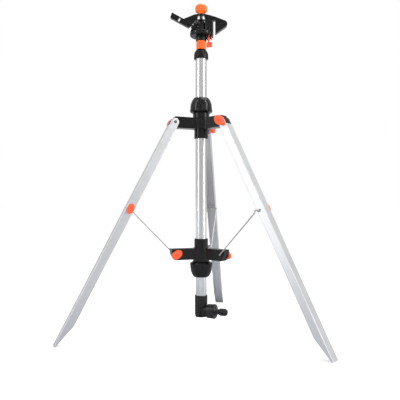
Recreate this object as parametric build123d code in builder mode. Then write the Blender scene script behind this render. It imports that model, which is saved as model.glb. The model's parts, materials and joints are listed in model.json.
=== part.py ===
"""Impulse sprinkler on a folding tripod.

Millimetres, +Z up. The origin is on the ground under the mast. The legs stand at
90 (rear), 210 (left) and 330 degrees (right), seen from above.
"""

import os
from math import cos, radians, sin, tan

from build123d import *

# ---------------------------------------------------------------- driving dimensions

LEG_AZIMUTHS = {"right": 330.0, "left": 210.0, "rear": 90.0}
RUNNING = 0.05  # radial clearance of a running fit
GAP = 0.3  # clearance between pieces that slide past each other

# mast, and the water path at its foot
mast_radius = 12.5
mast_bore_radius = 11.0
mast_bottom = 60.0
mast_top = 611.5
elbow_azimuth = -12.0
elbow_axis_height = 47.3

# hubs: one moulding, used twice, the lower one upside down
upper_hub_height = 463.5  # middle of the upper arms, and height of the leg pivots
lower_hub_height = 174.8  # middle of the lower arms, and height of the stay pivots
arm_width = 19.0
arm_height = 24.8
hub_body_radius = 19.0
neck_radius = 18.4
thread_radius = 16.9
sleeve_radius = 15.4
sleeve_length = 20.6
upper_neck_length = 10.9  # plain neck between the arms and the clamp nut
lower_neck_length = 5.1
nut_length = 34.5
nut_radius = 25.2

# legs: channels, open towards the mast
leg_width = 22.6
leg_depth = 17.3
leg_sheet = 1.5
leg_angle = 27.7  # from the vertical, in use
folded_angle = 5.0
leg_pivot_radius = 63.4
leg_pin_radius = 2.4
foot_taper = 52.0

# stays: bent wire between the legs and the lower hub
wire_radius = 1.4
stay_on_leg = 213.0  # along the leg from its pivot
stay_pivot_radius = 60.5  # in the lower hub
wire_plane = leg_width / 2 + 0.5 + wire_radius  # how far the wire stands off the middle

# head
head_azimuth = 9.65  # the counterweight's direction, the nozzle is opposite
nozzle_angle = 28.5
nozzle_start = 671.5  # where the nozzle's axis leaves the mast's axis
nozzle_ring_radius = 14.7
base_nut_bottom = 609.0
dish_bottom = 660.0
fulcrum_pin_radius = 2.0
trip_azimuth = -20.0  # from the counterweight's direction
trip_height = 654.3
upper_tab_azimuth = 105.0  # from the counterweight's direction, at rest
lower_tab_azimuth = 75.0

os.makedirs("parts", exist_ok=True)


# ---------------------------------------------------------------- helpers


def save(part, name):
    """Label one finished piece and write it."""
    part.label = name
    export_step(part, f"parts/{name}.step")


def turned(part, azimuth):
    """A copy of a piece, turned about the mast's axis."""
    return part.rotate(Axis.Z, azimuth)


def side_plane(shift=0.0):
    """Upright plane through the mast's axis, x outwards and y up, seen from -Y."""
    return Plane(origin=(0, -shift, 0), x_dir=(1, 0, 0), z_dir=(0, -1, 0))


def ring_part(profile):
    """A turned piece from its half profile, a list of (radius, height)."""
    with BuildPart() as ring:
        with BuildSketch(side_plane()):
            with BuildLine():
                Polyline(*profile, close=True)
            make_face()
        revolve(axis=Axis.Z)
    return ring.part


def coil_part(radius, wire, bottom, height, turns):
    """A coil spring about the mast's axis."""
    pitch = height / turns
    with BuildPart() as coil:
        with BuildLine(Plane.XY.offset(bottom)) as path:
            Helix(pitch=pitch, height=height, radius=radius)
        with BuildSketch(Plane(origin=path.line @ 0, z_dir=path.line % 0)):
            Circle(wire)
        sweep(is_frenet=True)
    return coil.part


def along_leg(down, out):
    """Point of the leg's side view: down along the leg from its pivot, out from its middle."""
    angle = radians(leg_angle)
    radius = leg_pivot_radius + down * sin(angle) + out * cos(angle)
    height = upper_hub_height - down * cos(angle) + out * sin(angle)
    return (radius, height)


def leg_length():
    """Length from the pivot at which the web's inner edge stands on the ground."""
    angle = radians(leg_angle)
    inner_face = leg_depth / 2 - leg_sheet
    return (upper_hub_height + inner_face * sin(angle)) / cos(angle)


# ---------------------------------------------------------------- tripod: hubs


def hub_outline(inset=0.0):
    """Plan of the three arms, with hollow corners between them."""
    with BuildSketch() as plan:
        Circle(hub_body_radius)
        with PolarLocations(0, 3, start_angle=90):
            Rectangle(80, arm_width, align=(Align.MIN, Align.CENTER))
        corners = plan.vertices().filter_by(lambda v: Vector(v.X, v.Y).length < 40)
        fillet(corners, 9)
        if inset:
            offset(amount=-inset)
    return plan.sketch


def hub_part(neck_length):
    """A hub about its own middle plane, neck upwards, legs' side at 90 degrees."""
    half = arm_height / 2
    thread_end = half + neck_length + 17.7
    groove_width = 1.7
    groove_depth = 1.3
    end_slope = radians(leg_angle)
    end_depth = 5.4  # of the arm's slanted end from the leg pivot
    fold_slope = radians(folded_angle)
    fold_depth = 6.5
    with BuildPart() as hub:
        with BuildSketch(Plane.XY.offset(-half)):
            add(hub_outline())
        extrude(amount=arm_height)
        for level in (-7.4, -2.5, 2.5, 7.4):
            with BuildSketch(Plane.XY.offset(level - groove_width / 2)):
                add(hub_outline())
                add(hub_outline(groove_depth), mode=Mode.SUBTRACT)
            extrude(amount=groove_width, mode=Mode.SUBTRACT)
        with BuildSketch(side_plane()):
            with BuildLine():
                Polyline(
                    (0, -half - sleeve_length), (sleeve_radius - 0.6, -half - sleeve_length),
                    (sleeve_radius, -half - sleeve_length + 0.6), (sleeve_radius, -half),
                    (neck_radius, half), (neck_radius, half + neck_length - 1),
                    (thread_radius, half + neck_length - 1), (thread_radius, thread_end),
                    (0, thread_end), close=True,
                )
            make_face()
        revolve(axis=Axis.Z)
        Cylinder(mast_radius + RUNNING, 200, mode=Mode.SUBTRACT)
        # each arm ends on the slant of a leg that stands open, and lower down on the
        # slant of a folded leg
        high = half + 2
        reach = end_depth / cos(end_slope)
        fold_reach = fold_depth / cos(fold_slope)
        knee = (fold_reach - reach) / (tan(fold_slope) - tan(end_slope))
        with BuildSketch(side_plane()) as past_end:
            with BuildLine():
                Polyline(
                    (leg_pivot_radius + reach - high * tan(end_slope), high), (100, high),
                    (100, -high), (leg_pivot_radius + fold_reach + high * tan(fold_slope), -high),
                    (leg_pivot_radius + reach - knee * tan(end_slope), knee), close=True,
                )
            make_face()
        beyond = extrude(past_end.sketch, amount=20, both=True, mode=Mode.PRIVATE)
        with PolarLocations(0, 3, start_angle=90):
            add(beyond, mode=Mode.SUBTRACT)
    return hub.part


def bored_hub(hub, bore_at, bore_radius):
    """The hub with one cross hole through each arm."""
    with BuildPart() as bored:
        add(hub)
        with BuildSketch(side_plane(-arm_width)):
            with Locations((bore_at, 0)):
                Circle(bore_radius)
        hole = extrude(amount=2 * arm_width, mode=Mode.PRIVATE)
        with PolarLocations(0, 3, start_angle=90):
            add(hole, mode=Mode.SUBTRACT)
    return bored.part


def nut_part():
    """A clamp nut that starts at height 0 and narrows upwards."""
    ribs = 14
    profile = [
        (thread_radius + RUNNING, 0), (18.6, 0), (nut_radius - 1.2, 2.8), (nut_radius, 5.0),
        (nut_radius - 1.9, 21.5), (nut_radius - 4.2, 28.0), (17.6, nut_length - 1.0),
        (16.6, nut_length), (mast_radius + GAP, nut_length), (mast_radius + GAP, 31.0),
        (thread_radius + RUNNING, 21.0),
    ]
    with BuildPart() as nut:
        add(ring_part(profile))
        with PolarLocations(nut_radius + 0.9, ribs, start_angle=8):
            Cylinder(2.5, 80, mode=Mode.SUBTRACT)
    return nut.part


def collet_part(bottom):
    """Split ring between the hub's neck and the nut's cone, heights in the nut's frame."""
    profile = [
        (mast_radius + RUNNING, bottom), (thread_radius - 0.5, bottom),
        (thread_radius - 0.5, 20.8), (mast_radius + 0.8, 29.0), (mast_radius + RUNNING, 29.0),
    ]
    with BuildPart() as collet:
        add(ring_part(profile))
        with Locations((mast_radius, 0, 20)):
            Box(20, 2.2, 40, mode=Mode.SUBTRACT)
    return collet.part


def upside_down(part):
    """A piece turned over about the Y axis, so that it keeps the same three directions."""
    return part.rotate(Axis.Y, 180)


def tripod_hubs():
    """Both hubs with their nuts and collets."""
    half = arm_height / 2
    upper = bored_hub(hub_part(upper_neck_length), leg_pivot_radius, leg_pin_radius + RUNNING)
    save(upper.moved(Location((0, 0, upper_hub_height))), "upper_hub")
    lower = bored_hub(hub_part(lower_neck_length), stay_pivot_radius, wire_radius + RUNNING)
    save(upside_down(lower).moved(Location((0, 0, lower_hub_height))), "lower_hub")
    nut = nut_part()
    collet = collet_part(18.0)
    upper_start = upper_hub_height + half + upper_neck_length
    lower_start = lower_hub_height - half - lower_neck_length
    for piece, name in ((nut, "nut"), (collet, "collet")):
        save(piece.moved(Location((0, 0, upper_start))), f"upper_{name}")
        save(upside_down(piece).moved(Location((0, 0, lower_start))), f"lower_{name}")


# ---------------------------------------------------------------- tripod: legs and stays


def leg_part():
    """A leg in the direction of +X."""
    half_width = leg_width / 2
    half_depth = leg_depth / 2
    length = leg_length()
    web_start = 11.8
    inner = half_depth - leg_sheet
    with BuildPart() as leg:
        with BuildSketch(side_plane(-half_width)):
            with BuildLine():
                top_out = along_leg(0, half_depth)
                top_in = along_leg(0, -half_depth)
                crown = along_leg(-half_depth, 0)
                ThreePointArc(top_in, crown, top_out)
                Polyline(
                    top_out, along_leg(length, half_depth), along_leg(length, half_depth - 2.5),
                    along_leg(length - foot_taper, -half_depth), top_in,
                )
            make_face()
        extrude(amount=leg_width)
        with BuildSketch(side_plane(-half_width + leg_sheet)):
            with BuildLine():
                Polyline(
                    along_leg(-20, -20), along_leg(-20, 20), along_leg(web_start, 20),
                    along_leg(web_start, inner), along_leg(length + 20, inner),
                    along_leg(length + 20, -20), close=True,
                )
            make_face()
        extrude(amount=leg_width - 2 * leg_sheet, mode=Mode.SUBTRACT)
        with BuildSketch(side_plane(-half_width)):
            with Locations(along_leg(0, 0)):
                Circle(leg_pin_radius + RUNNING)
            with Locations(along_leg(stay_on_leg, 0)):
                Circle(wire_radius + RUNNING)
        extrude(amount=leg_width, mode=Mode.SUBTRACT)
        middle = Vector(*along_leg(length / 2, half_depth))
        bends = leg.edges().filter_by(
            lambda e: e.length > 400 and abs(e.center().X - middle.X) < 8
            and abs(abs(e.center().Y) - half_width) < 0.01 and e.center().Z > middle.Y - 8
        )
        outer = bends.sort_by(Axis.X)[-2:]
        fillet(outer, 1.2)
    return leg.part


def oval_cap(centre, tilt, length, width, depth, hole_radius, side):
    """Oval domed cap on one side of an arm or leg in the direction of +X.

    centre is (radius, height, distance from the middle plane), side is -1 towards -Y
    and 1 towards +Y, and the hole is blind, from the cap's flat back.
    """
    back = side_plane(-side * centre[2])
    grow = depth if side < 0 else -depth
    with BuildPart() as cap:
        with BuildSketch(back):
            with Locations(Location((centre[0], centre[1], 0), (0, 0, tilt))):
                Ellipse(length / 2, width / 2)
        extrude(amount=grow)
        rim = cap.faces().sort_by(Axis.Y)[0 if side < 0 else -1].edges()
        fillet(rim, 2.2)
        with Locations((centre[0], side * (centre[2] + depth + 4.2), centre[1])):
            Sphere(6.0, mode=Mode.SUBTRACT)
        if hole_radius:
            with BuildSketch(back):
                with Locations((centre[0], centre[1])):
                    Circle(hole_radius)
            extrude(amount=grow * 0.55, mode=Mode.SUBTRACT)
    return cap.part


def leg_pin_part():
    """Pivot pin of the leg at +X: oval head on the -Y side, shank through leg and arm."""
    head_gap = 0.2
    start = leg_width / 2 + head_gap
    head = oval_cap((leg_pivot_radius, upper_hub_height, start), -46, 25, 18, 10.5, 0, -1)
    with BuildPart() as pin:
        add(head)
        with BuildSketch(side_plane(-leg_width / 2 - 1.6)):
            with Locations((leg_pivot_radius, upper_hub_height)):
                Circle(leg_pin_radius)
        extrude(amount=leg_width + 1.6 + head_gap)
        with BuildSketch(side_plane(-leg_width / 2 - 1.6)):
            with Locations((leg_pivot_radius, upper_hub_height)):
                Rectangle(0.9, 6)
        extrude(amount=9, mode=Mode.SUBTRACT)
    return pin.part


def stay_part():
    """A stay of the leg at +X: a wire bent into the leg, with a kink beside it."""
    top = Vector(along_leg(stay_on_leg, 0)[0], -wire_plane, along_leg(stay_on_leg, 0)[1])
    low = Vector(stay_pivot_radius, -wire_plane, lower_hub_height)
    bend = 1.85
    end_gap = 0.65  # from the arm's side to the wire's end
    points = [
        (top.X, leg_width / 2 + 4.0, top.Z),
        (top.X, top.Y, top.Z),
        (top.X - 4.6, top.Y, top.Z - 6.6),
        (top.X - 8.4, top.Y, top.Z + 1.0),
        (top.X - 12.6, top.Y, top.Z - 9.0),
        (low.X, low.Y, low.Z),
        (low.X, -arm_width / 2 - end_gap, low.Z),
    ]
    with BuildPart() as stay:
        with BuildLine() as path:
            FilletPolyline(*points, radius=[bend, 1.9, 1.9, 6.0, bend])
        with BuildSketch(Plane(origin=path.line @ 0, z_dir=path.line % 0)):
            Circle(wire_radius)
        sweep()
    return stay.part


def stay_hub_pin_part():
    """The end of a stay that sits in the lower hub's arm at +X."""
    with BuildPart() as pin:
        with BuildSketch(side_plane(-arm_width / 2 - 4.0)):
            with Locations((stay_pivot_radius, lower_hub_height)):
                Circle(wire_radius)
        extrude(amount=arm_width + 4.4)
    return pin.part


def three_of(part):
    """A group of three, one for each leg."""
    with BuildPart() as group:
        with PolarLocations(0, 3, start_angle=90):
            add(part)
    return group.part


def tripod_legs():
    """Legs, pins, stays and caps."""
    leg = leg_part()
    stay = stay_part()
    pivot = along_leg(stay_on_leg, 0)
    leg_cap = oval_cap((pivot[0], pivot[1], leg_width / 2 + 0.2), 112, 22.5, 14.5, 7.0,
                       wire_radius + RUNNING, 1)
    hub_cap = oval_cap((stay_pivot_radius, lower_hub_height, arm_width / 2 + 0.2), -34, 25, 17.5,
                       8.0, wire_radius + RUNNING, 1)
    for name, azimuth in LEG_AZIMUTHS.items():
        save(turned(leg, azimuth), f"leg_{name}")
        save(turned(stay, azimuth), f"strut_{name}")
        save(turned(leg_cap, azimuth), f"strut_cap_{name}")
    save(three_of(leg_pin_part()), "leg_pivot_pins")
    save(three_of(stay_hub_pin_part()), "stay_hub_pins")
    save(three_of(hub_cap), "stay_hub_caps")


# ---------------------------------------------------------------- water path at the foot


def elbow_part():
    """Elbow with its outlet towards +X."""
    socket_radius = 14.4
    outlet_radius = 12.7
    outlet_end = 15.2
    thread_end = 30.0
    axis = elbow_axis_height
    across = Plane(origin=(0, 0, axis), x_dir=(0, 1, 0), z_dir=(1, 0, 0))
    with BuildPart() as elbow:
        with BuildSketch(Plane.XY.offset(axis - outlet_radius)):
            Circle(socket_radius)
        extrude(amount=81.8 - axis + outlet_radius)
        # the back corner is cut off on a slant
        with BuildSketch(side_plane()):
            with BuildLine():
                Polyline(
                    (-16, axis - 2), (-16, axis - 16), (-4, axis - 16),
                    (-8, axis - outlet_radius), (-14.4, axis - 4), close=True,
                )
            make_face()
        extrude(amount=20, both=True, mode=Mode.SUBTRACT)
        for level in (44.5, 49.7, 54.9, 60.1):
            with BuildSketch(Plane.XY.offset(level)):
                Circle(socket_radius + 1)
                Circle(socket_radius - 0.9, mode=Mode.SUBTRACT)
            extrude(amount=2.2, mode=Mode.SUBTRACT)
        with BuildSketch(across):
            Circle(outlet_radius)
        extrude(amount=outlet_end)
        for start in (2.8, 6.0, 9.2, 12.4):
            with BuildSketch(across.offset(start)):
                Circle(outlet_radius + 4)
                Circle(outlet_radius - 0.9, mode=Mode.SUBTRACT)
            extrude(amount=1.4, mode=Mode.SUBTRACT)
        with BuildSketch(across.offset(outlet_end)):
            Circle(11.4)
        extrude(amount=thread_end - outlet_end)
        with BuildSketch(Plane.XY.offset(mast_bottom)):
            Circle(mast_radius + RUNNING)
        extrude(amount=40, mode=Mode.SUBTRACT)
        with BuildSketch(Plane.XY.offset(axis - 5)):
            Circle(8.5)
        extrude(amount=40, mode=Mode.SUBTRACT)
        with BuildSketch(across):
            Circle(8.0)
        extrude(amount=60, mode=Mode.SUBTRACT)
    return elbow.part


def along_outlet(part):
    """A piece turned about Z, laid along +X at the height of the elbow's outlet."""
    laid = part.rotate(Axis.Y, 90)
    return laid.moved(Location((0, 0, elbow_axis_height)))


def connector_part():
    """Hose connector along +Z: ribbed nut, then the nipple of a quick coupling."""
    ribs = 22
    profile = [
        (11.45, 15.6), (14.6, 15.6), (15.4, 16.6), (16.0, 33.0), (15.0, 34.6), (11.6, 34.6),
        (9.6, 36.6), (7.2, 37.2), (5.8, 39.6), (5.8, 42.6), (8.1, 45.4), (8.1, 52.8),
        (6.2, 53.2), (6.2, 55.4), (7.9, 55.8), (7.9, 57.4), (5.9, 61.0), (4.2, 61.0),
        (4.2, 32.6), (11.45, 32.6),
    ]
    with BuildPart() as connector:
        add(ring_part(profile))
        with BuildSketch(Plane.XY.offset(17.0)):
            with PolarLocations(16.6, ribs):
                Circle(1.5)
        extrude(amount=15.0, mode=Mode.SUBTRACT)
    return connector.part


def water_path():
    """Elbow, connector and seals at the foot of the mast."""
    save(turned(elbow_part(), elbow_azimuth), "elbow")
    save(turned(along_outlet(connector_part()), elbow_azimuth), "hose_connector")
    washer = ring_part([(7.6, 30.1), (11.3, 30.1), (11.3, 32.5), (7.6, 32.5)])
    save(turned(along_outlet(washer), elbow_azimuth), "connector_washer")
    with BuildPart() as o_ring:
        with BuildSketch(side_plane()):
            with Locations((7.15, 54.3)):
                Circle(0.9)
        revolve(axis=Axis.Z)
    save(turned(along_outlet(o_ring.part), elbow_azimuth), "nipple_o_ring")
    with BuildPart() as mast:
        with BuildSketch(Plane.XY.offset(mast_bottom + 0.2)):
            Circle(mast_radius)
            Circle(mast_bore_radius, mode=Mode.SUBTRACT)
        extrude(amount=mast_top - mast_bottom - 0.2)
    save(mast.part, "mast_tube")


# ---------------------------------------------------------------- swivel bearing


def base_nut_part():
    """Nut on the mast's top, with eight petal-shaped grips and a sleeve for the collars."""
    petals = 8
    bottom = base_nut_bottom
    with BuildPart() as nut:
        with BuildSketch(side_plane()):
            with BuildLine():
                Polyline(
                    (10.4, bottom + 21), (8.6, bottom + 21), (8.6, bottom + 40),
                    (5.6, bottom + 40), (5.6, bottom + 13.6), (9.6, bottom + 13.6),
                    (9.6, bottom + 4.6), (mast_radius + 0.2, bottom + 4.6),
                    (mast_radius + 0.2, bottom), (16.0, bottom), (16.0, bottom + 7),
                )
                ThreePointArc(
                    (16.0, bottom + 7), (14.4, bottom + 15.4), (10.4, bottom + 21),
                )
            make_face()
        revolve(axis=Axis.Z)
        with BuildSketch(Plane.XY.offset(bottom - 1)):
            with PolarLocations(16.9, petals, start_angle=32):
                Circle(2.6)
        extrude(amount=19, mode=Mode.SUBTRACT)
        with BuildSketch(side_plane()) as notch:
            with Locations((15.6, bottom)):
                Rectangle(5.0, 9.0)
        cut = extrude(notch.sketch, amount=1.7, both=True, mode=Mode.PRIVATE)
        with PolarLocations(0, petals, start_angle=32):
            add(cut, mode=Mode.SUBTRACT)
    return nut.part


def collar_part(bottom, tab_azimuth):
    """Stop collar with fine ribs and one tab."""
    height = 9.2
    ribs = 22
    with BuildPart() as collar:
        with BuildSketch(Plane.XY.offset(bottom)):
            Circle(10.95)
            Circle(8.6 + RUNNING, mode=Mode.SUBTRACT)
            with PolarLocations(11.2, ribs):
                Circle(0.62, mode=Mode.SUBTRACT)
        extrude(amount=height)
        with BuildSketch(Plane.XY.offset(bottom + 0.8)):
            with Locations(Location((0, 0, 0), (0, 0, tab_azimuth))):
                with Locations((12.9, 0)):
                    Rectangle(6.2, 2.6)
        extrude(amount=height - 1.6)
    return collar.part


def swivel_bearing():
    """Everything between the mast's top and the turning head."""
    bottom = base_nut_bottom
    save(base_nut_part(), "base_nut")
    adapter = ring_part([
        (7.0, bottom - 24), (10.95, bottom - 24), (10.95, mast_top), (12.4, mast_top),
        (12.4, bottom + 4.5), (9.55, bottom + 4.5), (9.55, bottom + 8.4), (7.0, bottom + 8.4),
    ])
    save(adapter, "mast_adapter")
    seal = ring_part([(7.2, 617.5), (9.3, 617.5), (9.3, 619.3), (7.2, 619.3)])
    save(seal, "adapter_seal")
    stem = ring_part([
        (4.0, 619.4), (8.6, 619.4), (8.6, 621.4), (5.5, 621.4), (5.5, 668.0), (4.0, 668.0),
    ])
    save(stem, "bearing_stem")
    with BuildPart() as washers:
        for level in (621.45, 622.0):
            with BuildSketch(Plane.XY.offset(level)):
                Circle(9.2)
                Circle(5.6, mode=Mode.SUBTRACT)
            extrude(amount=0.5)
    save(washers.part, "bearing_washers")
    spring = coil_part(7.0, 0.45, 649.8, 7.4, 5)
    save(turned(spring, head_azimuth), "bearing_spring")
    lower = collar_part(bottom + 21.2, lower_tab_azimuth)
    upper = collar_part(bottom + 30.6, upper_tab_azimuth)
    save(turned(lower, head_azimuth), "lower_stop_collar")
    save(turned(upper, head_azimuth), "upper_stop_collar")


# ---------------------------------------------------------------- head
# Head pieces are made with the counterweight towards +X and the nozzle towards -X.


def nozzle_plane(distance):
    """Plane across the nozzle's axis, x towards -Y and y up its front face."""
    angle = radians(nozzle_angle)
    origin = (-distance * cos(angle), 0, nozzle_start + distance * sin(angle))
    return Plane(origin=origin, x_dir=(0, -1, 0), z_dir=(-cos(angle), 0, sin(angle)))


def beside_jet(distance, up):
    """Point of the head's side view, along the nozzle's axis and up from it."""
    angle = radians(nozzle_angle)
    x = -distance * cos(angle) + up * sin(angle)
    z = nozzle_start + distance * sin(angle) + up * cos(angle)
    return (x, z)


def trip_plane(shift=0.0):
    """Upright plane along the trip lever's shaft, x outwards and y up."""
    angle = radians(trip_azimuth)
    normal = Vector(sin(angle), -cos(angle), 0)
    return Plane(origin=normal * shift, x_dir=(cos(angle), sin(angle), 0), z_dir=normal)


def head_body_part():
    """Turning body: dish over the bearing, housing, column and nozzle barrel."""
    housing_out = 27.4
    housing_half = 12.5
    housing_top = 694.0
    with BuildPart() as body:
        with BuildSketch(side_plane()):
            with BuildLine():
                Polyline((0, 649.8), (12.0, 649.8), (12.0, dish_bottom), (21.6, dish_bottom))
                ThreePointArc(
                    (21.6, dish_bottom), (24.2, dish_bottom + 1.0), (25.2, dish_bottom + 3.6),
                )
                Polyline(
                    (25.2, dish_bottom + 3.6), (25.2, dish_bottom + 7.0), (24.6, dish_bottom + 7.6),
                    (11.0, dish_bottom + 7.6), (9.5, 678.0), (9.5, 690.0), (6.5, housing_top),
                    (0, housing_top), (0, 649.8),
                )
            make_face()
        revolve(axis=Axis.Z)
        with BuildSketch(Plane.XY.offset(dish_bottom + 1)):
            with Locations((housing_out / 2 + 4, 0)):
                RectangleRounded(housing_out - 8, 2 * housing_half, 4.0)
        extrude(amount=housing_top - dish_bottom - 1)
        with BuildSketch(Plane.XY.offset(dish_bottom + 7.6)):
            with Locations((18.4, 0)):
                RectangleRounded(13.4, 2 * housing_half - 4.4, 2.0)
        extrude(amount=22, mode=Mode.SUBTRACT)
        # slot in the dish for the trip lever's finger
        with BuildSketch(Plane.XY.offset(dish_bottom - 1)):
            with Locations(Location((0, 0, 0), (0, 0, trip_azimuth))):
                with Locations((19.3, 0)):
                    Rectangle(5.8, 8.6)
        extrude(amount=12, mode=Mode.SUBTRACT)
        # panel lines on both broad sides of the housing
        for side in (-1, 1):
            for x in (13.4, 23.2):
                with Locations((x, side * housing_half, 678)):
                    Box(1.2, 1.4, 27, mode=Mode.SUBTRACT)
        with BuildSketch(nozzle_plane(0)):
            Circle(9.4)
        extrude(amount=13.0)
        with BuildSketch(nozzle_plane(13.0)):
            Circle(8.3)
        extrude(amount=4.9)
        # ears that carry the trip lever's shaft
        for start in (14.0, 22.6):
            with BuildSketch(Plane.XY.offset(trip_height - 3.4)):
                with Locations(Location((0, 0, 0), (0, 0, trip_azimuth))):
                    with Locations((start + 0.9, 0)):
                        Rectangle(1.8, 7.0)
            extrude(amount=dish_bottom + 4.2 - trip_height + 3.4)
        with BuildSketch(Plane(origin=(0, 0, trip_height), x_dir=(0, 0, 1),
                               z_dir=trip_plane().x_dir)):
            Circle(2.0 + RUNNING)
        extrude(amount=26.0, mode=Mode.SUBTRACT)
        # room for the toothed ring, and the water passages
        with BuildSketch(nozzle_plane(13.05)):
            Circle(nozzle_ring_radius + 0.6)
            Circle(8.3, mode=Mode.SUBTRACT)
        extrude(amount=9.0, mode=Mode.SUBTRACT)
        with BuildSketch(Plane.XY.offset(649)):
            Circle(8.2)
        extrude(amount=8.8, mode=Mode.SUBTRACT)
        with BuildSketch(Plane.XY.offset(657)):
            Circle(5.5 + RUNNING)
        extrude(amount=11.3, mode=Mode.SUBTRACT)
        with BuildSketch(Plane.XY.offset(668)):
            Circle(4.2)
        extrude(amount=6.0, mode=Mode.SUBTRACT)
        with BuildSketch(nozzle_plane(0)):
            Circle(4.4)
        extrude(amount=30, mode=Mode.SUBTRACT)
        with BuildSketch(nozzle_plane(7.0)):
            Circle(5.9 + RUNNING)
        extrude(amount=20, mode=Mode.SUBTRACT)
        with BuildSketch(Plane.XY.offset(683)):
            Circle(fulcrum_pin_radius + RUNNING)
        extrude(amount=20, mode=Mode.SUBTRACT)
    return body.part


def nozzle_part():
    """Nozzle insert with a tapering bore."""
    profile = [
        (3.4, 7.2), (5.9, 7.2), (5.9, 18.0), (8.1, 18.0), (8.1, 19.2), (4.4, 19.2),
        (3.6, 24.6), (2.2, 24.6), (2.2, 19.0),
    ]
    return on_nozzle_axis(ring_part(profile))


def on_nozzle_axis(part):
    """A piece made about Z, moved onto the nozzle's axis."""
    plane = nozzle_plane(0)
    return part.moved(plane.location)


def nozzle_nut_part():
    """Toothed ring that holds the nozzle."""
    teeth = 16
    rim = nozzle_ring_radius
    profile = [
        (8.3 + RUNNING, 13.2), (rim - 1.0, 13.2), (rim, 14.2), (rim, 19.2), (rim - 1.2, 20.6),
        (4.7, 20.6), (4.7, 19.3), (8.3 + RUNNING, 19.3),
    ]
    with BuildPart() as nut:
        add(ring_part(profile))
        with BuildSketch(Plane.XY.offset(13)):
            with PolarLocations(rim - 0.4, teeth):
                Rectangle(5.0, 2.6)
        extrude(amount=9, mode=Mode.SUBTRACT)
    return on_nozzle_axis(nut.part)


def hammer_arm_part():
    """Swinging arm: spoon and channel over the nozzle, bridge on the pin, counterweight."""
    under = 696.0  # underside of the bridge
    over = 709.8  # top of the bridge
    bar_low = -6.5  # the bar's lower and upper edges, from the jet
    bar_high = 5.2
    spoon_end = 77.2
    bar_half = 4.5
    weight_half = 7.0
    window_low = 697.7
    window_high = 707.8
    with BuildPart() as arm:
        # bar along the jet, and the web that joins it to the bridge
        with BuildSketch(side_plane(-bar_half)):
            with BuildLine():
                Polyline(
                    beside_jet(28.8, bar_low), beside_jet(74.6, bar_low),
                    beside_jet(75.6, bar_low + 1), beside_jet(spoon_end, bar_high - 1),
                    beside_jet(spoon_end - 1, bar_high + 0.4), beside_jet(47.6, bar_high),
                    (-16, over - 1.6), (-8, over), (0, over), (0, under), (-12, under - 0.5),
                    close=True,
                )
            make_face()
        extrude(amount=2 * bar_half)
        # bridge over the pin
        with BuildSketch(side_plane(-bar_half)):
            with BuildLine():
                Polyline(
                    (-14, under), (-14, over - 1.4), (-8, over), (8, over), (18, over - 2.4),
                    (33, over - 6.8), (33, under), close=True,
                )
            make_face()
        extrude(amount=2 * bar_half)
        for low, high in ((under, window_low), (window_high, over)):
            with BuildSketch(Plane.XY.offset(low)):
                Circle(6.6)
            extrude(amount=high - low)
        # counterweight with a round nose
        with BuildSketch(side_plane(-weight_half)):
            with BuildLine():
                Polyline(
                    (26, under), (18, over - 2.6), (33.3, 702.7), (52.0, 695.4),
                )
                ThreePointArc((52.0, 695.4), (58.4, 688.2), (55.6, 681.6))
                Polyline((55.6, 681.6), (33.2, 665.4), (31.6, 666.2), (31.6, under), (26, under))
            make_face()
        extrude(amount=2 * weight_half)
        broad_sides = arm.faces().filter_by(Axis.Y).group_by(Axis.Y)
        chamfer(broad_sides[0].edges() + broad_sides[-1].edges(), 1.2)
        # shallow panels in the counterweight's broad sides
        for side in (-1, 1):
            with BuildSketch(side_plane(side * (weight_half - 0.7))):
                with BuildLine():
                    Polyline((35.4, 698.0), (49.6, 692.6))
                    ThreePointArc((49.6, 692.6), (54.4, 688.0), (52.4, 683.0))
                    Polyline((52.4, 683.0), (35.4, 670.6), (35.4, 698.0))
                make_face()
            extrude(amount=side * 2, mode=Mode.SUBTRACT)
        # window around the pin and its spring
        with BuildSketch(side_plane(-20)):
            with BuildLine():
                Polyline(
                    (-9.0, window_low), (9.0, window_low), (6.4, window_high),
                    (-6.4, window_high), close=True,
                )
            make_face()
        extrude(amount=40, mode=Mode.SUBTRACT)
        # channel for the jet, closed at the spoon and open to the far side there
        with BuildSketch(side_plane(-2.7)):
            with BuildLine():
                Polyline(
                    beside_jet(20, -4.4), beside_jet(70, -4.4), beside_jet(73, 0),
                    beside_jet(73, 2.6), beside_jet(20, 2.6), close=True,
                )
            make_face()
        extrude(amount=5.4, mode=Mode.SUBTRACT)
        with BuildSketch(side_plane(-20)):
            with BuildLine():
                Polyline(
                    beside_jet(61, -4.4), beside_jet(70, -4.4), beside_jet(73, 0),
                    beside_jet(73, 2.6), beside_jet(61, 2.6), close=True,
                )
            make_face()
        extrude(amount=20, mode=Mode.SUBTRACT)
        with BuildSketch(side_plane(-20)):
            with BuildLine():
                Polyline(
                    beside_jet(53.2, -4.9), beside_jet(58.4, -4.9), beside_jet(58.4, 4.2),
                    beside_jet(53.2, 4.2), close=True,
                )
            make_face()
        extrude(amount=40, mode=Mode.SUBTRACT)
        with BuildSketch(Plane.XY.offset(690)):
            Circle(fulcrum_pin_radius + RUNNING)
        extrude(amount=30, mode=Mode.SUBTRACT)
    return arm.part


def top_cap_part():
    """Fluted cap on the fulcrum pin."""
    flutes = 10
    with BuildPart() as cap:
        with BuildSketch(side_plane()):
            with BuildLine():
                Polyline((0, 710.2), (6.4, 710.2), (7.0, 712.4), (12.2, 715.4), (13.2, 717.4),
                         (13.2, 725.6))
                ThreePointArc((13.2, 725.6), (8.6, 731.2), (0, 733.0))
                Line((0, 733.0), (0, 710.2))
            make_face()
        revolve(axis=Axis.Z)
        with BuildSketch(Plane.XY.offset(713)):
            with PolarLocations(14.8, flutes, start_angle=18):
                Circle(2.5)
        extrude(amount=30, mode=Mode.SUBTRACT)
        with BuildSketch(Plane.XY.offset(710)):
            Circle(fulcrum_pin_radius + RUNNING)
        extrude(amount=9, mode=Mode.SUBTRACT)
    return cap.part


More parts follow.
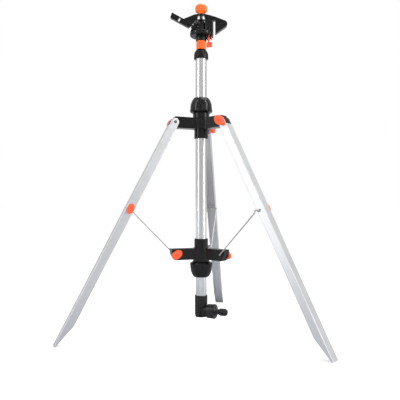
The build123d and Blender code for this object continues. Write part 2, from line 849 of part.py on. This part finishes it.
def trip_lever_part():
    """Trip lever: shaft in the body's ears, finger above it, post and paddle below."""
    paddle_low = 634.2
    paddle_high = 645.2
    across = Plane(origin=(0, 0, trip_height), x_dir=(0, 0, 1), z_dir=trip_plane().x_dir)
    with BuildPart() as lever:
        with BuildSketch(across.offset(13.6)):
            Circle(2.0)
        extrude(amount=11.6)
        with BuildSketch(across.offset(16.2)):
            Circle(3.1)
        extrude(amount=6.0)
        with BuildSketch(trip_plane(-1.2)):
            with BuildLine():
                Polyline(
                    (17.6, trip_height), (20.8, trip_height), (20.2, 669.0), (18.2, 669.0),
                    close=True,
                )
            make_face()
            with Locations((17.8, (trip_height + paddle_high) / 2)):
                Rectangle(3.4, trip_height - paddle_high + 1)
            with Locations((19.2, (paddle_low + paddle_high) / 2)):
                RectangleRounded(12.6, paddle_high - paddle_low, 1.2)
        extrude(amount=2.4)
    return lever.part


def trip_spring_part():
    """Small coil spring that tips the trip lever to either side."""
    spring = coil_part(1.9, 0.3, 670.0, 12.0, 8)
    angle = radians(trip_azimuth)
    return spring.moved(Location((19.2 * cos(angle), 19.2 * sin(angle), 0)))


def head():
    """All pieces that turn with the head."""
    pin = ring_part([(0, 683.2), (2.0, 683.2), (2.0, 718.6), (0, 718.6)])
    pieces = {
        "head_body": head_body_part(),
        "nozzle": nozzle_part(),
        "nozzle_nut": nozzle_nut_part(),
        "hammer_arm": hammer_arm_part(),
        "fulcrum_pin": pin,
        "arm_spring": coil_part(3.2, 0.4, 698.3, 8.8, 7),
        "top_cap": top_cap_part(),
        "trip_lever": trip_lever_part(),
        "trip_spring": trip_spring_part(),
    }
    for name, piece in pieces.items():
        save(turned(piece, head_azimuth), name)


tripod_hubs()
tripod_legs()
water_path()
swivel_bearing()
head()
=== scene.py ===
"""Looks of the impulse sprinkler on its folding tripod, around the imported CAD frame."""

import json
from math import atan2, cos, hypot, pi, radians, sin

import bmesh
import bpy
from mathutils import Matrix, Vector


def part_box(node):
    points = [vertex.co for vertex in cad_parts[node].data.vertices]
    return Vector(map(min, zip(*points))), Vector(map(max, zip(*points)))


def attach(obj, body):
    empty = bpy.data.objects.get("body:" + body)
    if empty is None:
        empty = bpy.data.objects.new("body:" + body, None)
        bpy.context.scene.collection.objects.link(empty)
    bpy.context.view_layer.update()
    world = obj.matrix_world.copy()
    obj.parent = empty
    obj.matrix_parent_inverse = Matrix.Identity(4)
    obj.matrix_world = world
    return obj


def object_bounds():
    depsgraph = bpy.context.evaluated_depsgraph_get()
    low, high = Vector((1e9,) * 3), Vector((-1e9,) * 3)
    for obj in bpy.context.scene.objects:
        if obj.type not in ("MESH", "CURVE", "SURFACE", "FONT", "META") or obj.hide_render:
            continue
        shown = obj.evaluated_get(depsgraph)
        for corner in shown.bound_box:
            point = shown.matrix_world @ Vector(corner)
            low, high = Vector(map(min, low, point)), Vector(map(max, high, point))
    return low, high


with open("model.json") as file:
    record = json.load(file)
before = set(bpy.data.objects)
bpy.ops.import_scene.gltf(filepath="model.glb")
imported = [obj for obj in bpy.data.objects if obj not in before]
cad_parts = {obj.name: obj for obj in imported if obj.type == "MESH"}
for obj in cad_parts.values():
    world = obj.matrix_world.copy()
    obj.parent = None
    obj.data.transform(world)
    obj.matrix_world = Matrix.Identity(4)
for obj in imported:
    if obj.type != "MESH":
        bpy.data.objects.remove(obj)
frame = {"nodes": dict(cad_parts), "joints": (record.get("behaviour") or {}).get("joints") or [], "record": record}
cad_low, cad_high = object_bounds()

# ---------------------------------------------------------------- driving values, metres

MM = 0.001
LEGS = ("right", "left", "rear")

LENS_MM = 42.4
SENSOR_MM = 36.0
CAMERA_AWAY = 1.0544  # from the mast's axis
CAMERA_HEIGHT = 0.2866
CAMERA_AZIMUTH = -80.35  # of the camera, seen from the mast's axis, in degrees
AIM_TURN = 0.14  # the aim passes the mast's axis by this much, in degrees
AIM_UP = 0.39  # degrees above the horizontal

PIN_END_FROM_MIDDLE = 11.35 * MM  # just outside the leg's side
PIN_END_RADIUS = 3.1 * MM
PIN_END_HEIGHT = 2.1 * MM

SKY_LOW = 0.50
SKY_HIGH = 0.80
FLOOR_GLOW = 0.35
LIGHTS_AIM_HEIGHT = 0.35
UNDER_GREY = 0.40
FAR_GREY = 0.58
DARK_CARD_GREY = 0.42
DARK_CARD_AWAY = 2.2

BLACK = (0.0040, 0.0040, 0.0045)
CONNECTOR_BLACK = (0.0085, 0.0085, 0.0095)
ORANGE = (1.0, 0.16, 0.02)
RED_ORANGE = (1.0, 0.112, 0.036)
ALUMINIUM = (0.80, 0.81, 0.825)
MAST_METAL = (0.80, 0.805, 0.81)
STEEL = (0.56, 0.55, 0.53)
DARK_STEEL = (0.16, 0.15, 0.14)
RUBBER = (0.012, 0.012, 0.012)


# ---------------------------------------------------------------- node helpers


def node(tree, kind, inputs=None, **settings):
    """Adds a node; an input's value is a number, a colour or another node's socket."""
    made = tree.nodes.new("ShaderNode" + kind)
    for name, value in settings.items():
        setattr(made, name, value)
    for name, value in (inputs or {}).items():
        socket = made.inputs[name]
        if isinstance(value, bpy.types.NodeSocket):
            tree.links.new(value, socket)
        else:
            socket.default_value = value
    return made


def blank(name):
    """A new material, its tree and its shader."""
    material = bpy.data.materials.new(name)
    material.use_nodes = True
    tree = material.node_tree
    return material, tree, tree.nodes["Principled BSDF"]


def noise(tree, vector, scale, detail=3.0, rough=0.55):
    """Noise from 0 to 1."""
    made = node(tree, "TexNoise", {"Vector": vector, "Scale": scale, "Detail": detail,
                                   "Roughness": rough})
    return made.outputs["Fac"]


def spread(tree, value, low, high, start=0.3, end=0.7):
    """Maps a value from start..end to low..high, held at both ends."""
    made = node(tree, "MapRange", {"Value": value, "From Min": start, "From Max": end,
                                   "To Min": low, "To Max": high})
    return made.outputs["Result"]


def blend_colours(tree, share, first, second):
    """Colour between two colours."""
    made = node(tree, "Mix", data_type="RGBA")
    for index, value in ((0, share), (6, first), (7, second)):
        if isinstance(value, bpy.types.NodeSocket):
            tree.links.new(value, made.inputs[index])
        else:
            made.inputs[index].default_value = value
    return made.outputs[2]


def shade(colour, factor):
    """A colour made darker or lighter, with alpha."""
    return tuple(min(1.0, c * factor) for c in colour) + (1.0,)


def edge_mask(tree, radius):
    """1 near sharp edges, 0 on open faces."""
    rounded = node(tree, "Bevel", {"Radius": radius}, samples=6).outputs["Normal"]
    flat = node(tree, "NewGeometry").outputs["Normal"]
    dot = node(tree, "VectorMath", {0: rounded, 1: flat}, operation="DOT_PRODUCT")
    return rounded, spread(tree, dot.outputs["Value"], 1.0, 0.0, 0.75, 0.98)


def bump(tree, height, distance, strength, normal=None):
    """Normal with small relief."""
    inputs = {"Height": height, "Distance": distance, "Strength": strength}
    if normal is not None:
        inputs["Normal"] = normal
    return node(tree, "Bump", inputs).outputs["Normal"]


# ---------------------------------------------------------------- materials


def moulded(name, colour, roughness, level, edge=0.5 * MM, painted_highlight_gain=1.1):
    """Moulded plastic: soft edges, faint cloudiness, fine grain, and a painted highlight that lightens the colour
    along sharp edges.
    """
    material, tree, shader = blank(name)
    place = node(tree, "TexCoord").outputs["Object"]
    cloud = noise(tree, place, 45.0, 4.0)
    grain = noise(tree, place, 1900.0, 2.0)
    flow = noise(tree, node(tree, "Mapping", {"Vector": place, "Scale": (30.0, 30.0, 260.0)}
                            ).outputs["Vector"], 1.0, 3.0)
    rounded, rim = edge_mask(tree, edge)
    body = blend_colours(tree, spread(tree, cloud, 0.0, 1.0), shade(colour, 0.86),
                         shade(colour, 1.12))
    worn = blend_colours(tree, spread(tree, flow, 0.25, 0.75), body, shade(colour, 0.94))
    # painted highlight: the base colour is made lighter along sharp edges, so rib and groove edges read as lit
    # lines
    with_painted_highlight = blend_colours(tree, rim, worn, shade(colour, painted_highlight_gain))
    tree.links.new(with_painted_highlight, shader.inputs["Base Color"])
    gloss = node(tree, "Math", {0: spread(tree, cloud, -0.05, 0.07),
                                1: spread(tree, grain, roughness - 0.03, roughness + 0.04)},
                 operation="ADD")
    tree.links.new(gloss.outputs["Value"], shader.inputs["Roughness"])
    tree.links.new(bump(tree, grain, 0.02 * MM, 0.25, rounded), shader.inputs["Normal"])
    shader.inputs["Specular IOR Level"].default_value = level
    return material


def along(tree, azimuth, lean):
    """Object coordinates turned so that z runs along a leg at that azimuth and lean."""
    place = node(tree, "TexCoord").outputs["Object"]
    straight = node(tree, "VectorRotate", {"Vector": place, "Angle": -azimuth},
                    rotation_type="Z_AXIS").outputs["Vector"]
    return node(tree, "VectorRotate", {"Vector": straight, "Angle": lean},
                rotation_type="Y_AXIS").outputs["Vector"]


def drawn_metal(name, colour, roughness, azimuth=0.0, lean=0.0, streak=0.06, dents=0.25):
    """Extruded or drawn metal: streaks along its length, dull patches and light scratches."""
    material, tree, shader = blank(name)
    place = along(tree, azimuth, lean)
    lines = noise(tree, node(tree, "Mapping", {"Vector": place, "Scale": (900.0, 900.0, 6.0)}
                             ).outputs["Vector"], 1.0, 4.0, 0.65)
    bands = noise(tree, node(tree, "Mapping", {"Vector": place, "Scale": (150.0, 150.0, 3.0)}
                             ).outputs["Vector"], 1.0, 2.0)
    patches = noise(tree, place, 14.0, 5.0)
    specks = noise(tree, place, 700.0, 2.0)
    rounded, rim = edge_mask(tree, 0.35 * MM)
    base = blend_colours(tree, spread(tree, bands, 0.0, 1.0), shade(colour, 0.95),
                         shade(colour, 1.03))
    dulled = blend_colours(tree, spread(tree, patches, 0.0, 0.5, 0.45, 0.8), base,
                           shade(colour, 0.88))
    bright = blend_colours(tree, spread(tree, rim, 0.0, 0.6, 0.0, 1.0), dulled,
                           shade(colour, 1.12))
    tree.links.new(bright, shader.inputs["Base Color"])
    gloss = node(tree, "Math", {0: spread(tree, lines, roughness - streak, roughness + streak),
                                1: spread(tree, patches, -0.04, 0.08)}, operation="ADD")
    tree.links.new(gloss.outputs["Value"], shader.inputs["Roughness"])
    relief = node(tree, "Math", {0: lines, 1: spread(tree, specks, 0.0, dents)},
                  operation="ADD").outputs["Value"]
    tree.links.new(bump(tree, relief, 0.03 * MM, 0.3, rounded), shader.inputs["Normal"])
    shader.inputs["Metallic"].default_value = 1.0
    return material


def rubber(name):
    """Dull black rubber."""
    material, tree, shader = blank(name)
    place = node(tree, "TexCoord").outputs["Object"]
    cloud = noise(tree, place, 160.0, 4.0)
    tree.links.new(blend_colours(tree, cloud, shade(RUBBER, 0.7), shade(RUBBER, 1.6)),
                   shader.inputs["Base Color"])
    tree.links.new(spread(tree, cloud, 0.55, 0.75), shader.inputs["Roughness"])
    tree.links.new(bump(tree, noise(tree, place, 1500.0), 0.05 * MM, 0.4),
                   shader.inputs["Normal"])
    return material


def leg_direction(name):
    """Azimuth and lean from the vertical of one leg, from the box of its CAD node."""
    low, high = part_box(f"leg_{name}")
    if name == "rear":
        return pi / 2, atan2(high.y - low.y, high.z - low.z)
    corners = [(x, y) for x in (low.x, high.x) for y in (low.y, high.y)]
    far = max(corners, key=lambda c: hypot(*c))
    near = min(corners, key=lambda c: hypot(*c))
    across, along_y = far[0] - near[0], far[1] - near[1]
    return atan2(along_y, across), atan2(hypot(across, along_y), high.z - low.z)


# the black plastic gets a strong painted highlight along its edges, the connector a weaker one
black = moulded("black_plastic", BLACK, roughness=0.15, level=0.34, edge=0.3 * MM,
                painted_highlight_gain=16.0)
connector_black = moulded("connector_black", CONNECTOR_BLACK, roughness=0.22, level=0.40,
                          edge=0.3 * MM, painted_highlight_gain=7.0)
orange = moulded("orange_plastic", ORANGE, roughness=0.34, level=0.4)
red = moulded("red_orange_plastic", RED_ORANGE, roughness=0.34, level=0.4)
dark_steel = drawn_metal("spring_steel", DARK_STEEL, roughness=0.35, streak=0.05)
mast_metal = drawn_metal("mast_aluminium", MAST_METAL, roughness=0.20, streak=0.05)
steel = drawn_metal("steel_wire", STEEL, roughness=0.27, streak=0.08, dents=0.6)
black_rubber = rubber("seal_rubber")

FINISH = {"black_plastic": black, "orange_plastic": orange, "red_plastic": red,
          "mast_aluminium": mast_metal, "steel": steel, "rubber": black_rubber}
slots = {part["node"]: part["material_slot"] for part in frame["record"]["subparts"]}


def paint(name, material):
    """Gives a CAD node one material."""
    piece = frame["nodes"][name]
    piece.data.materials.clear()
    piece.data.materials.append(material)


for name, slot_name in slots.items():
    if slot_name in FINISH:
        paint(name, FINISH[slot_name])
for name in LEGS:
    azimuth, lean = leg_direction(name)
    paint(f"leg_{name}", drawn_metal(f"leg_aluminium_{name}", ALUMINIUM, roughness=0.36,
                                     azimuth=azimuth, lean=lean))
for name in ("hose_connector", "elbow"):
    paint(name, connector_black)
for name in ("arm_spring", "fulcrum_pin"):
    paint(name, dark_steel)


# ---------------------------------------------------------------- pin ends


def dome(name, centre, axis, radius, height, rings, sides, material):
    """A pressed cap: a short rim and a dome over it, along an axis."""
    mesh = bmesh.new()
    turn = Vector((0, 0, 1)).rotation_difference(axis).to_matrix()
    loops = []
    for ring in range(rings + 1):
        share = ring / rings
        r = radius * cos(share * pi / 2) if ring else radius
        z = height * (0.35 + 0.65 * sin(share * pi / 2))
        if ring == rings:
            loops.append([mesh.verts.new(centre + turn @ Vector((0, 0, z)))])
            continue
        levels = (0.0, z) if ring == 0 else (z,)
        for level in levels:
            loops.append([
                mesh.verts.new(centre + turn @ Vector(
                    (r * cos(2 * pi * k / sides), r * sin(2 * pi * k / sides), level)))
                for k in range(sides)
            ])
    mesh.faces.new(list(reversed(loops[0])))
    for lower, upper in zip(loops, loops[1:]):
        for k in range(sides):
            after = (k + 1) % sides
            if len(upper) == 1:
                mesh.faces.new((lower[k], lower[after], upper[0]))
            else:
                mesh.faces.new((lower[k], lower[after], upper[after], upper[k]))
    data = bpy.data.meshes.new(name)
    mesh.to_mesh(data)
    mesh.free()
    data.polygons.foreach_set("use_smooth", [True] * len(data.polygons))
    made = bpy.data.objects.new(name, data)
    bpy.context.scene.collection.objects.link(made)
    made.data.materials.append(material)
    return made


joints = {joint["name"]: joint for joint in frame["joints"]}
for name in LEGS:
    pivot = joints[f"leg_{name}_fold"]
    axis = Vector(pivot["axis"])
    centre = Vector(pivot["pos_m"]) + axis * PIN_END_FROM_MIDDLE
    pin_end = dome(f"pin_end_{name}", centre, axis, PIN_END_RADIUS, PIN_END_HEIGHT, rings=6,
                   sides=32, material=dark_steel)
    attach(pin_end, "upper_hub")


# ---------------------------------------------------------------- studio


def plane_mesh(name, width, height, location, rotation, material):
    """A flat card of the studio, facing its own +Z."""
    bpy.ops.mesh.primitive_plane_add(size=1.0, location=location, rotation=rotation)
    card = bpy.context.object
    card.name = name
    card.scale = (width, height, 1.0)
    card.data.materials.append(material)
    return card


def studio_paint(name, colour, roughness):
    """Plain paint of the floor and of the cards around it."""
    material, tree, shader = blank(name)
    place = node(tree, "TexCoord").outputs["Object"]
    tone = blend_colours(tree, noise(tree, place, 3.0), shade(colour, 0.99), shade(colour, 1.01))
    tree.links.new(tone, shader.inputs["Base Color"])
    shader.inputs["Roughness"].default_value = roughness
    return material


def softbox(name, azimuth, away, height, width, tall, power):
    """A large soft light that looks at the middle of the object."""
    light = bpy.data.lights.new(name, "AREA")
    light.shape = "RECTANGLE"
    light.size = width
    light.size_y = tall
    light.energy = power
    lamp = bpy.data.objects.new(name, light)
    lamp.location = (away * cos(radians(azimuth)), away * sin(radians(azimuth)), height)
    aim = Vector((0, 0, LIGHTS_AIM_HEIGHT)) - lamp.location
    lamp.rotation_euler = aim.to_track_quat("-Z", "Y").to_euler()
    lamp.visible_camera = False
    bpy.context.scene.collection.objects.link(lamp)


world = bpy.data.worlds.new("studio")
world.use_nodes = True
sky = world.node_tree
height = node(sky, "SeparateXYZ", {"Vector": node(sky, "TexCoord").outputs["Generated"]})
glow = spread(sky, height.outputs["Z"], SKY_LOW, SKY_HIGH, start=-0.1, end=0.9)
seen = node(sky, "LightPath").outputs["Is Camera Ray"]
strength = node(sky, "Mix", {"Factor": seen, "A": glow, "B": 1.0})
background = sky.nodes["Background"]
background.inputs["Color"].default_value = (1.0, 1.0, 1.0, 1.0)
sky.links.new(strength.outputs["Result"], background.inputs["Strength"])
bpy.context.scene.world = world
bpy.context.scene.view_settings.view_transform = "Standard"

floor_paint = studio_paint("floor_paint", (0.90, 0.90, 0.90), 0.7)
floor_shader = floor_paint.node_tree.nodes["Principled BSDF"]
floor_shader.inputs["Emission Color"].default_value = (1.0, 1.0, 1.0, 1.0)
floor_shader.inputs["Emission Strength"].default_value = FLOOR_GLOW
plane_mesh("floor", 40.0, 40.0, (0, 0, cad_low[2]), (0, 0, 0), floor_paint)
# only reflections see these two: what bright metal shows instead of the white floor
for name, size, grey, level in (("under_card", 1.1, UNDER_GREY, 2 * MM),
                                ("far_card", 6.0, FAR_GREY, MM)):
    card = plane_mesh(name, size, size, (0, 0.05, cad_low[2] + level), (0, 0, 0),
                      studio_paint(f"{name}_paint", (0.97 * grey, grey, 1.05 * grey), 0.9))
    card.visible_camera = False
    card.visible_diffuse = False
    card.visible_shadow = False
camera_side = radians(CAMERA_AZIMUTH)
dark_card = plane_mesh(
    "dark_card", 2.3, 3.4,
    (DARK_CARD_AWAY * cos(camera_side), DARK_CARD_AWAY * sin(camera_side), 1.2),
    (radians(90), 0, camera_side - radians(90)),
    studio_paint("card_paint", (DARK_CARD_GREY,) * 3, 0.9))
dark_card.visible_camera = False
dark_card.visible_shadow = False
softbox("left_box", CAMERA_AZIMUTH - 66, away=2.3, height=1.3, width=1.2, tall=2.2, power=5.0)
softbox("right_box", CAMERA_AZIMUTH + 58, away=2.3, height=1.3, width=1.2, tall=2.2, power=7.5)
softbox("left_strip", CAMERA_AZIMUTH - 60, away=2.0, height=1.25, width=0.17, tall=2.5,
        power=9.5)
softbox("right_strip", CAMERA_AZIMUTH + 66, away=2.0, height=1.25, width=0.24, tall=2.5,
        power=18.0)
softbox("top_box", 60, away=0.5, height=2.7, width=1.8, tall=1.8, power=34)

lens = bpy.data.cameras.new("camera")
lens.lens = LENS_MM
lens.sensor_width = SENSOR_MM
camera = bpy.data.objects.new("camera", lens)
camera.location = (CAMERA_AWAY * cos(camera_side), CAMERA_AWAY * sin(camera_side), CAMERA_HEIGHT)
aim_azimuth = camera_side + pi + radians(AIM_TURN)
camera.rotation_euler = (radians(90 + AIM_UP), 0, aim_azimuth - radians(90))
bpy.context.scene.collection.objects.link(camera)
bpy.context.scene.camera = camera
